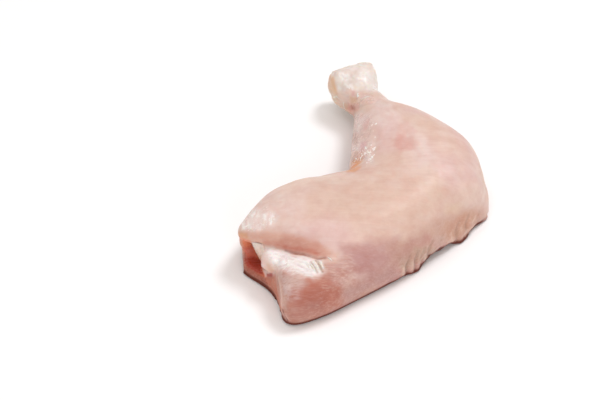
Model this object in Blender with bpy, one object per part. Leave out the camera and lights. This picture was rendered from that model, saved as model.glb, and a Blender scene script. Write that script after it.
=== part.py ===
"""A raw, skinless chicken leg, thigh and drumstick in one piece, lying on a table.

The drumstick runs back and narrows to the bare knuckle. The thigh comes forward and to the left and
ends in the open cut of the hip: an upper layer of meat whose lip overhangs the cut, the pale end of the
thigh bone and its gristle under it, and a lower layer that lies on the table.

Lengths are in millimetres up to the last step, which turns the leg into metres. Plan places (x, y) are
counted from a point on the table behind the middle of the thigh; the finished leg is then moved so that
its origin lies on the table, under the middle of its bounding box.
"""

from typing import NamedTuple

import bmesh
import bpy
import numpy as np
from mathutils import Matrix, Vector

MM = 0.001

# How fine the solid is.
RING_POINTS = 48
STEPS_BETWEEN_SECTIONS = 5
EGG_SUBDIVISIONS = 4
VOXEL = 1.2
MOST_TRIANGLES = 11200

# How far creases are softened: all of them, the furrows, and the broad crown of the meat.
SOFTENING = 0.5
CREASE_STEPS = 5
FURROW_STEPS = 3
CROWN_STEPS = 80
CROWN_STARTS = 27.0
CROWN_FULL = 32.0

# The finish of raw meat, for the solid's own material.
MEAT_COLOUR = (0.80, 0.56, 0.47, 1.0)
MEAT_ROUGHNESS = 0.35

UNDERSIDE_BOXINESS = 3.6


class Section(NamedTuple):
    """One cut across a limb, from the edge inside its bend to the edge outside it.

    A boxiness of 2 rounds that side of the crest like an ellipse, and more makes it squarer.
    """

    inner: tuple  # plan place of the inner edge
    outer: tuple  # plan place of the outer edge
    inner_rise: float  # height of the inner edge, where that side is widest
    outer_rise: float
    top: float  # height of the crest
    base: float  # height of the underside; below 0 is pressed flat on the table
    boxiness: float  # of the outer side
    inner_boxiness: float = 2.1


# The meat, from inside the knuckle, down the drumstick, round the knee and along the thigh.
LEG = (
    Section((25.0, 67.5), (40.0, 72.5), 16, 16, 25.0, 7.0, 2.1),
    Section((29.0, 56.0), (45.6, 64.0), 15, 15, 25.0, 5.0, 2.1),
    Section((29.0, 47.5), (53.5, 50.7), 15, 16, 28.5, 2.5, 2.1),
    Section((28.2, 36.5), (65.8, 41.8), 15, 17, 33.5, 0.0, 2.1),
    Section((27.2, 24.5), (77.2, 30.6), 15, 17, 37.5, -1.5, 2.1),
    Section((26.2, 14.5), (87.8, 19.2), 15, 16, 39.0, -2.0, 2.2),
    Section((25.0, 6.5), (92.6, 8.8), 16, 13, 39.0, -2.0, 2.4),
    Section((24.5, -1.0), (94.5, -4.0), 16, 8, 38.0, -2.0, 2.6),
    Section((22.5, -5.0), (92.0, -18.0), 16, 7, 37.8, -2.0, 2.9),
    Section((17.5, -7.0), (79.0, -32.5), 16, 6, 37.0, -2.0, 3.0),
    Section((10.5, -7.5), (64.0, -48.0), 16, 6, 36.8, -2.0, 2.9),
    Section((2.5, -10.0), (46.0, -62.8), 16, 6, 36.0, -2.0, 2.7),
    Section((-5.5, -14.5), (28.5, -75.0), 16, 6, 34.0, -2.0, 2.6),
    Section((-12.5, -20.0), (10.5, -86.8), 14, 6, 27.5, -2.0, 2.7),
    Section((-17.5, -27.0), (-6.0, -90.0), 11, 5, 20.5, -2.0, 2.7),
    Section((-23.5, -32.0), (-13.0, -69.5), 5, 4, 8.5, -2.0, 2.5),
    Section((-29.0, -40.0), (-28.0, -54.5), 3, 3, 6.5, -2.0, 2.5),
)

# The upper layer of the thigh, from inside the meat to the tip of its lip.
UPPER_LAYER = (
    Section((20.5, -11.0), (50.5, -38.5), 24, 24, 32.0, 14.0, 2.3),
    Section((10.5, -10.5), (32.5, -55.5), 20, 25, 34.8, 14.0, 2.3),
    Section((1.5, -10.5), (13.0, -64.5), 18, 24, 36.0, 15.0, 2.8),
    Section((-7.5, -14.8), (3.0, -63.5), 18, 23, 35.6, 15.0, 2.9),
    Section((-15.3, -20.5), (-7.0, -60.5), 18, 23, 33.4, 16.0, 2.9),
    Section((-21.8, -28.5), (-16.8, -57.0), 18, 22.5, 30.0, 18.0, 2.8),
    Section((-26.5, -36.5), (-25.5, -52.5), 18, 22, 26.0, 17.0, 2.3),
    Section((-30.6, -43.8), (-30.6, -48.5), 18, 20, 22.5, 17.5, 2.0),
)

# The bare knuckle, from the neck out to its end.
KNUCKLE = (
    Section((26.5, 60.5), (43.0, 66.0), 15, 16, 23.5, 6.0, 2.4, 2.4),
    Section((18.0, 70.5), (43.0, 79.0), 16, 17, 27.5, 4.5, 3.2, 3.2),
    Section((16.5, 76.5), (41.5, 86.0), 17, 18, 27.0, 5.0, 3.2, 3.2),
    Section((20.5, 81.5), (37.0, 89.0), 17, 18, 24.0, 7.5, 3.2, 3.2),
)


class Lump(NamedTuple):
    """An egg of meat, fat or gristle: its middle, its three half lengths, and its turn about the vertical."""

    middle: tuple
    reach: tuple
    turn: float  # degrees


LUMPS = {
    "outer_condyle": Lump((22.5, 77.5, 15.5), (7.0, 9.5, 9.5), 20),
    "inner_condyle": Lump((35.5, 81.5, 16.5), (7.0, 9.0, 10.0), 20),
    "thigh_bone_end": Lump((-11.0, -60.0, 16.0), (8.0, 8.0, 7.5), -20),
    "gristle": Lump((-2.0, -67.0, 17.0), (12.0, 8.5, 7.5), -32),
    "far_wall": Lump((-18.0, -33.0, 12.0), (17.0, 6.5, 12.0), 49),
}

# What the hip joint left when it was pulled out of the cut.
SOCKET = Lump((-20.5, -54.0, 12.0), (9.5, 9.0, 6.5), -30)


class Furrow(NamedTuple):
    """A groove pressed into the surface along a straight stretch; a negative depth raises a ridge."""

    start: tuple
    end: tuple
    width: float
    depth: float


FURROWS = (
    # where the drumstick folds against the thigh
    Furrow((23.0, 4.0, 18.0), (31.0, -2.0, 29.0), 3.4, 0.9),
    # under the lip of the upper layer
    Furrow((-16.5, -57.5, 23.0), (-6.5, -62.0, 24.0), 2.4, 1.4),
    Furrow((-2.5, -64.0, 24.8), (11.5, -69.5, 27.2), 2.4, 1.7),
    # between the two halves of the knuckle
    Furrow((29.5, 92.5, 10.0), (28.0, 90.5, 27.0), 3.5, 2.0),
    # the swell of the knee on the table
    Furrow((94.5, -2.5, 4.5), (93.0, -11.5, 3.0), 6.5, -3.4),
    # the folds and swells where the side of the thigh meets the table
    Furrow((73.5, -32.5, 1.0), (69.5, -24.5, 20.0), 3.0, 2.2),
    Furrow((81.5, -28.5, 1.0), (78.5, -23.0, 13.0), 5.0, -2.6),
    Furrow((51.0, -58.0, 1.0), (47.0, -48.5, 18.0), 2.6, 0.6),
    Furrow((57.5, -52.5, 1.0), (54.5, -46.5, 12.0), 3.8, -1.6),
    Furrow((66.5, -41.5, 1.0), (62.5, -35.0, 18.0), 2.8, 1.0),
)


def catmull_rom(before, start, end, after, share):
    """The point a share of the way from start to end on a smooth curve through all four."""
    return 0.5 * (
        2 * start
        + (end - before) * share
        + (2 * before - 5 * start + 4 * end - after) * share**2
        + (3 * start - before - 3 * end + after) * share**3
    )


def steps_through(rows, steps):
    """The rows, with the smooth steps between each two of them."""
    rows = np.array(rows, float)
    padded = np.vstack((2 * rows[0] - rows[1], rows, 2 * rows[-1] - rows[-2]))
    shares = np.arange(steps) / steps
    smooth = [catmull_rom(*padded[i : i + 4], share) for i in range(len(rows) - 1) for share in shares]
    return np.array([*smooth, rows[-1]])


def signed_power(values, power):
    return np.sign(values) * np.abs(values) ** power


def section_ring(row):
    """The outline of one section, from its outer edge over the crest and back under it."""
    inner, outer = row[0:2], row[2:4]
    inner_rise, outer_rise, top, base, boxiness, inner_boxiness = row[4:]
    turn = np.linspace(0, 2 * np.pi, RING_POINTS, endpoint=False)
    side = np.where(np.cos(turn) > 0, boxiness, inner_boxiness)
    power = 2 / np.where(np.sin(turn) < 0, UNDERSIDE_BOXINESS, side)
    across = signed_power(np.cos(turn), power)
    height = signed_power(np.sin(turn), power)
    share = (across + 1) / 2
    plan = inner + np.outer(share, outer - inner)
    rise = inner_rise + share * (outer_rise - inner_rise)
    z = rise + np.where(height > 0, height * (top - rise), height * (rise - base))
    return np.column_stack((plan, z))


def object_from(shape, name):
    """An object in the scene made from a bmesh, which is used up."""
    mesh = bpy.data.meshes.new(name)
    shape.to_mesh(mesh)
    shape.free()
    made = bpy.data.objects.new(name, mesh)
    bpy.context.collection.objects.link(made)
    return made


def limb(name, sections):
    """A closed body through the sections of one limb, with flat ends."""
    rows = [[*s.inner, *s.outer, *s[2:]] for s in sections]
    shape = bmesh.new()
    rings = []
    for row in steps_through(rows, STEPS_BETWEEN_SECTIONS):
        rings.append([shape.verts.new(point * MM) for point in section_ring(row)])
    for ring, following in zip(rings, rings[1:]):
        for point in range(RING_POINTS):
            beside = (point + 1) % RING_POINTS
            shape.faces.new((ring[point], ring[beside], following[beside], following[point]))
    shape.faces.new(rings[0])
    shape.faces.new(rings[-1])
    bmesh.ops.recalc_face_normals(shape, faces=shape.faces)
    return object_from(shape, name)


def egg(name, lump):
    shape = bmesh.new()
    bmesh.ops.create_icosphere(shape, subdivisions=EGG_SUBDIVISIONS, radius=1.0)
    place = (
        Matrix.Translation(Vector(lump.middle))
        @ Matrix.Rotation(np.radians(lump.turn), 4, "Z")
        @ Matrix.Diagonal((*lump.reach, 1.0))
    )
    bmesh.ops.transform(shape, matrix=Matrix.Scale(MM, 4) @ place, verts=shape.verts)
    return object_from(shape, name)


def apply_modifiers(thing):
    """The object's mesh becomes what its modifiers make of it."""
    graph = bpy.context.evaluated_depsgraph_get()
    mesh = bpy.data.meshes.new_from_object(thing.evaluated_get(graph))
    thing.modifiers.clear()
    old = thing.data
    thing.data = mesh
    bpy.data.meshes.remove(old)


def cut(thing, cutter):
    """Takes the cutter's shape out of the thing, and the cutter out of the scene."""
    carve = thing.modifiers.new("Cut", "BOOLEAN")
    carve.operation = "DIFFERENCE"
    carve.solver = "EXACT"
    carve.object = cutter
    apply_modifiers(thing)
    bpy.data.objects.remove(cutter)


def join(things, name):
    """One object that holds the meshes of all the things, still overlapping."""
    shape = bmesh.new()
    for thing in things:
        shape.from_mesh(thing.data)
        bpy.data.objects.remove(thing)
    return object_from(shape, name)


def fuse(thing):
    """One skin round all that overlaps."""
    skin = thing.modifiers.new("Fuse", "REMESH")
    skin.mode = "VOXEL"
    skin.voxel_size = VOXEL * MM
    apply_modifiers(thing)


def soften(thing, steps, group=""):
    """Evens out the surface, or only the vertices in the named group."""
    smooth = thing.modifiers.new("Soften", "SMOOTH")
    smooth.factor = SOFTENING
    smooth.iterations = steps
    smooth.vertex_group = group
    apply_modifiers(thing)


def points_and_normals(mesh):
    """The mesh's vertices in millimetres, and their outward normals."""
    points = np.empty(len(mesh.vertices) * 3)
    normals = np.empty(len(mesh.vertices) * 3)
    mesh.vertices.foreach_get("co", points)
    mesh.vertex_normals.foreach_get("vector", normals)
    return points.reshape(-1, 3) / MM, normals.reshape(-1, 3)


def move_points(mesh, points):
    mesh.vertices.foreach_set("co", (points * MM).ravel())
    mesh.update()


def soften_crown(thing):
    """Smooths the broad top of the meat, so that the layers under it don't show through."""
    points, _ = points_and_normals(thing.data)
    weights = np.clip((points[:, 2] - CROWN_STARTS) / (CROWN_FULL - CROWN_STARTS), 0, 1)
    crown = thing.vertex_groups.new(name="crown")
    for index in np.flatnonzero(weights):
        crown.add([int(index)], weights[index], "REPLACE")
    soften(thing, CROWN_STEPS, crown.name)
    thing.vertex_groups.clear()


def distance_to_stretch(points, start, end):
    """How far each point is from the straight stretch from start to end."""
    start, along = np.array(start), np.subtract(end, start)
    share = np.clip((points - start) @ along / (along @ along), 0, 1)
    return np.linalg.norm(points - start - np.outer(share, along), axis=1)


def press_furrows(mesh, furrows):
    for furrow in furrows:
        points, normals = points_and_normals(mesh)
        distance = distance_to_stretch(points, furrow.start, furrow.end)
        depth = furrow.depth * np.exp(-((distance / furrow.width) ** 2))
        move_points(mesh, points - normals * depth[:, None])


def flatten_underside(mesh):
    """Cuts the leg off level with the table and closes the cut with one flat face."""
    shape = bmesh.new()
    shape.from_mesh(mesh)
    everything = [*shape.verts, *shape.edges, *shape.faces]
    bmesh.ops.bisect_plane(shape, geom=everything, plane_co=(0, 0, 0), plane_no=(0, 0, 1), clear_inner=True)
    rim = [edge for edge in shape.edges if edge.is_boundary]
    bmesh.ops.triangle_fill(shape, edges=rim, use_beauty=True, use_dissolve=False, normal=(0, 0, -1))
    bmesh.ops.recalc_face_normals(shape, faces=shape.faces)
    shape.to_mesh(mesh)
    shape.free()


def thin_out(thing, most):
    """Merges triangles where the surface is nearly flat, down to the given number."""
    thing.data.calc_loop_triangles()
    fewer = thing.modifiers.new("Thin out", "DECIMATE")
    fewer.ratio = most / len(thing.data.loop_triangles)
    apply_modifiers(thing)


def stand_on_origin(mesh):
    """Moves the leg so that the origin is on the table under the middle of its bounding box."""
    points, _ = points_and_normals(mesh)
    low, high = points.min(axis=0), points.max(axis=0)
    move_points(mesh, points - [(low[0] + high[0]) / 2, (low[1] + high[1]) / 2, low[2]])


def meat_material():
    made = bpy.data.materials.new("raw_meat")
    made.use_nodes = True
    shader = made.node_tree.nodes["Principled BSDF"]
    shader.inputs["Base Color"].default_value = MEAT_COLOUR
    shader.inputs["Roughness"].default_value = MEAT_ROUGHNESS
    shader.inputs["Metallic"].default_value = 0.0
    return made


def main():
    for thing in list(bpy.data.objects):
        bpy.data.objects.remove(thing)
    meat = limb("meat", LEG)
    cut(meat, egg("socket", SOCKET))
    pieces = [meat, limb("upper_layer", UPPER_LAYER), limb("knuckle", KNUCKLE)]
    pieces += [egg(name, lump) for name, lump in LUMPS.items()]
    leg = join(pieces, "chicken_leg")
    fuse(leg)
    soften(leg, CREASE_STEPS)
    soften_crown(leg)
    press_furrows(leg.data, FURROWS)
    soften(leg, FURROW_STEPS)
    flatten_underside(leg.data)
    thin_out(leg, MOST_TRIANGLES)
    stand_on_origin(leg.data)
    leg.data.shade_smooth()
    leg.data.materials.append(meat_material())


if __name__ == "__main__":
    main()
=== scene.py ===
"""Looks of the raw skinless chicken leg, on a pale floor in soft studio light.

Shapes are worked out in millimetres in the drawing frame: its origin is the floor point in the middle of the
photograph, X goes right, Y away from the camera and Z up. Pixels are those of the 600 by 400 photograph.
"""

import itertools
import math

import bmesh
import bpy
import numpy as np
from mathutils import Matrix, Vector
from mathutils.bvhtree import BVHTree


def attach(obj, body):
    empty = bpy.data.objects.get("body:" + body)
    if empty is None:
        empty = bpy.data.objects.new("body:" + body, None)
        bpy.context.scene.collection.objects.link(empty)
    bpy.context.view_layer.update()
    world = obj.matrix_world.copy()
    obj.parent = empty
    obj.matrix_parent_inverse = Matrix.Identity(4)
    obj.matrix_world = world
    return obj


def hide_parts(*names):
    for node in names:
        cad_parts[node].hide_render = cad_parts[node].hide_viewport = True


MM = 0.001
PICTURE = (600, 400)
CAMERA_DISTANCE = 750.0
CAMERA_ELEVATION = math.radians(42.0)
FOCAL_PIXELS = 1440.0
SENSOR_WIDTH = 36.0
DRAWING_TO_ROW = np.array([-33.482, 0.41, 0.0])

# The skin's mesh: the spacing of its points in millimetres, halved below FINE_HEIGHT and in these windows of
# the photograph, given by their left, top, right and bottom. The underside keeps the full spacing.
SPACING = 1.05
FINE_WINDOWS = ((320, 54, 388, 126), (344, 110, 380, 176), (234, 204, 354, 328), (396, 204, 492, 286))
FINE_HEIGHT = 5.0
UNDERSIDE_HEIGHT = 0.3

# How much light a level surface gets; 1 is what turns white paper just white on screen.
TABLE_LIGHT = 1.12

# Large odd numbers that scatter the place of a cell, and a seed, into a number that looks random.
CELL_MIXERS = (73856093, 19349663, 83492791)
SEED_MIXER = 40503
SEED_OFFSET = 977
BIT_MIXERS = ((13, 1274126177), (11, 668265263))
LARGEST_MIXED = 0x7FFFFFFF

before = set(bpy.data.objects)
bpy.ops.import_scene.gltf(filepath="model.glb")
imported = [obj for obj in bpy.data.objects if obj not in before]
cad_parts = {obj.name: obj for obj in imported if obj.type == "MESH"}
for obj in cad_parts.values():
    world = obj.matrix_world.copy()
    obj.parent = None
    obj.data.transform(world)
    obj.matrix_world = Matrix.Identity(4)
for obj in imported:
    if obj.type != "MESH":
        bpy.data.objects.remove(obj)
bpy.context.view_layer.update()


# ---------------------------------------------------------------- the photograph's camera

def camera_axes():
    """Where the camera stands, and its right, up and forward directions, in the drawing frame."""
    cosine, sine = math.cos(CAMERA_ELEVATION), math.sin(CAMERA_ELEVATION)
    place = np.array([0.0, -CAMERA_DISTANCE * cosine, CAMERA_DISTANCE * sine])
    return place, np.array([1.0, 0, 0]), np.array([0, sine, cosine]), np.array([0, cosine, -sine])


def make_camera():
    place, _, _, _ = camera_axes()
    data = bpy.data.cameras.new("camera")
    data.sensor_fit = "HORIZONTAL"
    data.sensor_width = SENSOR_WIDTH
    data.lens = FOCAL_PIXELS * SENSOR_WIDTH / PICTURE[0]
    data.clip_start = 0.01
    data.clip_end = 50.0
    camera = bpy.data.objects.new("camera", data)
    camera.location = Vector((place + DRAWING_TO_ROW) * MM)
    camera.rotation_euler = (math.pi / 2 - CAMERA_ELEVATION, 0, 0)
    bpy.context.scene.collection.objects.link(camera)
    bpy.context.scene.camera = camera


def pixels_of(points):
    """Where points show in the photograph."""
    place, right, up, forward = camera_axes()
    seen = points - place
    depth = seen @ forward
    across = PICTURE[0] / 2 + FOCAL_PIXELS * (seen @ right) / depth
    down = PICTURE[1] / 2 - FOCAL_PIXELS * (seen @ up) / depth
    return np.column_stack((across, down))


def ray_through(pixel):
    _, right, up, forward = camera_axes()
    ray = forward * FOCAL_PIXELS + right * (pixel[0] - PICTURE[0] / 2) + up * (PICTURE[1] / 2 - pixel[1])
    return ray / np.linalg.norm(ray)


# ---------------------------------------------------------------- arithmetic on arrays of points

def ramp(values, start, end):
    """0 at start, 1 at end, and smooth between them; end may be the smaller one."""
    share = np.clip((values - start) / (end - start), 0, 1)
    return share * share * (3 - 2 * share)


def lumps(points, size, seed):
    """Smooth noise from -1 to 1, with lumps about size millimetres across.

    size is one number, or three for x, y and z.
    """
    spots = points / np.array(size, float)
    cells = np.floor(spots).astype(np.int64)
    shares = ramp(spots - cells, 0, 1)
    total = np.zeros(len(points))
    for corner in itertools.product((0, 1), repeat=3):
        cell = cells + corner
        mixed = np.bitwise_xor.reduce(cell * CELL_MIXERS, axis=1) ^ (seed * SEED_MIXER + SEED_OFFSET)
        for shift, factor in BIT_MIXERS:
            mixed = (mixed ^ (mixed >> shift)) * factor & LARGEST_MIXED
        weight = np.where(corner, shares, 1 - shares).prod(axis=1)
        total += weight * (mixed / (LARGEST_MIXED >> 1) - 1)
    return total


def nearest_on_path(points, path):
    """How far each point is from a path of straight stretches, and how far along it that is, from 0 to 1."""
    best = np.full(len(points), np.inf)
    along = np.zeros(len(points))
    lengths = np.linalg.norm(np.diff(path, axis=0), axis=1)
    starts = np.concatenate(([0], np.cumsum(lengths)))
    for start, end, length, before in zip(path, path[1:], lengths, starts):
        if length < 1e-6:
            continue
        share = np.clip((points - start) @ (end - start) / length**2, 0, 1)
        distance = np.linalg.norm(points - start - np.outer(share, end - start), axis=1)
        closer = distance < best
        best[closer] = distance[closer]
        along[closer] = (before + share[closer] * length) / starts[-1]
    return best, along


def stepped(corners, step):
    """The places along a line of straight stretches, about step apart in the line's own units."""
    places = []
    for start, end in zip(corners, corners[1:]):
        start, end = np.array(start, float), np.array(end, float)
        count = max(1, round(np.linalg.norm(end - start) / step))
        places += [start + (end - start) * k / count for k in range(count)]
    return places + [np.array(corners[-1], float)]


def depth_inside(places, corners):
    """How far inside a many-sided patch of the picture each place is, in pixels; negative is outside."""
    corners = np.array(corners, float)
    inside = np.zeros(len(places), bool)
    edge, _ = nearest_on_path(places, np.vstack((corners, corners[:1])))
    for (x0, y0), (x1, y1) in zip(corners, np.roll(corners, -1, axis=0)):
        crosses = (y0 > places[:, 1]) != (y1 > places[:, 1])
        with np.errstate(divide="ignore", invalid="ignore"):
            at = x0 + (places[:, 1] - y0) / (y1 - y0) * (x1 - x0)
        inside ^= crosses & (places[:, 0] < at)
    return np.where(inside, edge, -edge)


def linear(red, green, blue):
    """A colour given as it looks on screen, 0 to 255, as the render's own values."""
    shown = (red / 255, green / 255, blue / 255)
    return tuple(level / 12.92 if level <= 0.04045 else ((level + 0.055) / 1.055) ** 2.4 for level in shown)


def surface(red, green, blue):
    """The colour that a surface needs to look like this on screen, in the light of this scene."""
    return np.array(linear(red, green, blue)) / TABLE_LIGHT


# ---------------------------------------------------------------- the skin that is modelled and painted

# How far a ray looks for meat in its way, from the skin and from the camera, in millimetres.
SKIN_SIGHT = 200
CAMERA_SIGHT = 2000
# The step of a path in pixels, or in millimetres on the hidden sides, and the step of a fine line.
STEP = 2.0
FINE_STEP = 1.0


def remeshed_copy(node, name):
    """An even skin of quads over a copy of the CAD node."""
    mesh = node.data.copy()
    mesh.materials.clear()
    thing = bpy.data.objects.new(name, mesh)
    bpy.context.scene.collection.objects.link(thing)
    remesh = thing.modifiers.new("even_skin", "REMESH")
    remesh.mode = "VOXEL"
    remesh.voxel_size = SPACING * MM
    graph = bpy.context.evaluated_depsgraph_get()
    even = bpy.data.meshes.new_from_object(thing.evaluated_get(graph))
    thing.modifiers.clear()
    thing.data = even
    return thing


def refine(mesh):
    """Halves the mesh's spacing low down and where the photograph shows small shapes."""
    work = bmesh.new()
    work.from_mesh(mesh)
    work.verts.ensure_lookup_table()
    places = np.array([point.co for point in work.verts]) / MM - DRAWING_TO_ROW
    x, y = pixels_of(places).T
    above = places[:, 2] > UNDERSIDE_HEIGHT
    fine = above & (places[:, 2] < FINE_HEIGHT)
    for left, top, right, bottom in FINE_WINDOWS:
        fine |= above & (x > left) & (x < right) & (y > top) & (y < bottom)
    edges = [edge for edge in work.edges if fine[edge.verts[0].index] and fine[edge.verts[1].index]]
    bmesh.ops.subdivide_edges(work, edges=edges, cuts=1, use_grid_fill=True)
    bmesh.ops.triangulate(work, faces=[face for face in work.faces if len(face.verts) > 4])
    work.to_mesh(mesh)
    work.free()


class Skin:
    """The leg's mesh as arrays: its points, and at each point its colour and the way it is finished.

    wet, fibre, film and glint say from 0 to 1 how wet the meat is, how strongly its fibres show, how much
    white tissue lies on it, and where it flashes.
    """

    # glint marks where flashes of highlight are painted into the colour
    FINISH = ("wet", "fibre", "film", "glint")

    def __init__(self, mesh):
        self.mesh = mesh
        self.points = self.read(mesh.vertices, "co", 3) / MM - DRAWING_TO_ROW
        self.edges = self.read(mesh.edges, "vertices", 2, np.int32)
        self.degree = np.bincount(self.edges.ravel(), minlength=len(self.points)).astype(float)
        mesh.calc_loop_triangles()
        self.triangles = self.read(mesh.loop_triangles, "vertices", 3, np.int32)
        self.tint = np.zeros((len(self.points), 3))
        self.lift = np.zeros(len(self.points))
        for name in self.FINISH:
            setattr(self, name, np.zeros(len(self.points)))

    @staticmethod
    def read(rows, name, columns, kind=np.float32):
        values = np.empty(len(rows) * columns, kind)
        rows.foreach_get(name, values)
        return values.reshape(-1, columns).astype(float if kind is np.float32 else kind)

    # -- shape

    def around(self, values):
        """The mean of each point's neighbours."""
        a, b = self.edges.T
        columns = values.reshape(len(values), -1)
        out = np.empty_like(columns)
        for k in range(columns.shape[1]):
            total = np.bincount(a, columns[b, k], len(values)) + np.bincount(b, columns[a, k], len(values))
            out[:, k] = total / self.degree
        return out.reshape(values.shape)

    def smooth(self, steps, share=1.0, give_back=0.3):
        """Evens out the surface, with some of the shrinking given back after each step."""
        share = np.reshape(share, (-1, 1))
        for _ in range(steps):
            self.points += 0.5 * share * (self.around(self.points) - self.points)
            self.points -= give_back * share * (self.around(self.points) - self.points)

    def blur(self, values, steps):
        for _ in range(steps):
            values = 0.5 * values + 0.5 * self.around(values)
        return values

    def normals(self):
        corners = self.points[self.triangles]
        across = np.cross(corners[:, 1] - corners[:, 0], corners[:, 2] - corners[:, 0])
        out = np.zeros_like(self.points)
        for k, c in itertools.product(range(3), range(3)):
            out[:, k] += np.bincount(self.triangles[:, c], across[:, k], len(self.points))
        return out / np.maximum(np.linalg.norm(out, axis=1), 1e-9)[:, None]

    # -- where the photograph shows the skin

    def survey(self):
        """Keeps the shape as it is now, to find pixels on it and to tell what the camera sees."""
        self.base = self.points.copy()
        self.tree = BVHTree.FromPolygons(self.base.tolist(), self.triangles.tolist())
        self.pixels = pixels_of(self.base)
        self.facing = self.normals()
        eye = camera_axes()[0]
        seen = np.zeros(len(self.base))
        towards = eye - self.base
        towards /= np.linalg.norm(towards, axis=1)[:, None]
        turned = np.einsum("ij,ij->i", towards, self.facing) > 0
        # Each ray starts a little off the skin, so that it doesn't meet the face it leaves.
        starts = self.base + 0.4 * self.facing + 0.6 * towards
        for i in np.flatnonzero(turned):
            seen[i] = self.tree.ray_cast(Vector(starts[i]), Vector(towards[i]), SKIN_SIGHT)[0] is None
        self.seen = ramp(self.blur(seen, 3), 0.35, 0.65)

    def spot(self, pixel):
        """The place on the skin that shows at a pixel, or None beside the leg."""
        return self.tree.ray_cast(Vector(camera_axes()[0]), Vector(ray_through(pixel)), CAMERA_SIGHT)[0]

    def path_of(self, pixels, step=STEP):
        """A path over the skin under a line in the photograph."""
        places = [self.spot(pixel) for pixel in stepped(pixels, step)]
        return np.array([place for place in places if place is not None])

    def path_to_foot(self, pixels):
        """A path over the skin under a line in the photograph, and on from its end down to the table."""
        path = self.path_of(pixels, FINE_STEP)
        return np.vstack((path, path[-1] * [1, 1, 0]))

    def path_near(self, places):
        """A path over the skin past places in millimetres, for the sides that the photograph doesn't show."""
        return np.array([self.tree.find_nearest(Vector(place))[0] for place in stepped(places, STEP)])

    # -- masks, from 0 to 1

    def close_to(self, path, reach):
        """The points that may lie within reach of a path, how far from it they are, and how far along it."""
        low, high = path.min(axis=0) - reach, path.max(axis=0) + reach
        near = np.flatnonzero(((self.base > low) & (self.base < high)).all(axis=1))
        return near, *nearest_on_path(self.base[near], path)

    def along(self, path, width, wobble=0.0, seed=0):
        """1 on a path, falling to nothing at width millimetres."""
        near, distance, _ = self.close_to(path, width + wobble)
        if wobble:
            distance = distance + wobble * lumps(self.base[near], 3.0, seed)
        mask = np.zeros(len(self.base))
        mask[near] = ramp(distance, width, 0)
        return mask

    def patch(self, corners, feather, wobble=0.0, seed=0):
        """1 inside a patch of the photograph, softened over feather pixels."""
        depth = depth_inside(self.pixels, corners)
        if wobble:
            depth = depth + wobble * (lumps(self.base, 4.5, seed) + 0.5 * lumps(self.base, 1.8, seed + 50))
        return ramp(depth, -feather, feather) * self.seen

    def dab(self, pixel, radius, wobble=0.0, seed=0):
        """1 round the place that shows at a pixel, falling to nothing at radius millimetres."""
        return self.along(np.array([self.spot(pixel)] * 2) + [[0, 0, 0], [0, 0, 0.01]], radius, wobble, seed)

    def near_to(self, pixel, far, near):
        """1 nearer than near millimetres to the place that shows at a pixel, and nothing beyond far."""
        return ramp(np.linalg.norm(self.base - np.array(self.spot(pixel)), axis=1), far, near)

    # -- relief and paint

    def press(self, path, width, depth):
        """A groove along a path, or a ridge where depth is negative; width is where it has nearly gone."""
        near, distance, along = self.close_to(path, 1.5 * width)
        # It starts at a tenth of its depth and ends at a quarter of it.
        ends = np.clip(3 * along + 0.1, 0, 1) * np.clip(5 * (1 - along) + 0.25, 0, 1)
        self.lift[near] -= depth * ends * np.exp(-((1.8 * distance / width) ** 2))

    def carve(self, relief, step=STEP):
        """Presses rows of relief: a line in the photograph, width and depth."""
        for line, width, depth in relief:
            self.press(self.path_of(line, step), width, depth)

    def settle(self):
        """Moves the points along their normals by all that was pressed and raised since the last time."""
        self.points += self.normals() * self.lift[:, None]
        self.lift[:] = 0

    def paint(self, mask, colour, strength):
        share = np.clip(mask * strength, 0, 1)[:, None]
        self.tint += share * (surface(*colour) - self.tint)

    def paint_patches(self, patches, seed):
        """Paints rows of patches: corners, how soft and how ragged the edge is, colour and strength."""
        for k, (corners, feather, wobble, colour, strength) in enumerate(patches):
            self.paint(self.patch(corners, feather, wobble, seed + k), colour, strength)

    def finish_with(self, mask, **values):
        """Sets wet, fibre, film or glint where the mask is 1, and part of the way where it is less."""
        for name, value in values.items():
            kept = getattr(self, name)
            kept += np.clip(mask, 0, 1) * (value - kept)

    def write_points(self):
        rows = ((self.points + DRAWING_TO_ROW) * MM).astype(np.float32)
        self.mesh.vertices.foreach_set("co", rows.ravel())

    def write(self, grain):
        self.write_points()
        dress(self.mesh, self.tint, grain, **{name: getattr(self, name) for name in self.FINISH})


def dress(mesh, tint, grain, **finish):
    """Writes what the meat's material reads at each point of a mesh."""
    shown = np.column_stack((np.clip(tint, 0, 1), np.ones(len(tint)))).astype(np.float32)
    mesh.attributes.new("tint", "FLOAT_COLOR", "POINT").data.foreach_set("color", shown.ravel())
    rows = grain.astype(np.float32).ravel()
    mesh.attributes.new("grain", "FLOAT_VECTOR", "POINT").data.foreach_set("vector", rows)
    for name, values in finish.items():
        values = np.clip(values, 0, 1).astype(np.float32)
        mesh.attributes.new(name, "FLOAT", "POINT").data.foreach_set("value", values)
    mesh.polygons.foreach_set("use_smooth", [True] * len(mesh.polygons))
    mesh.update()


# ---------------------------------------------------------------- materials, floor and light

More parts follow.
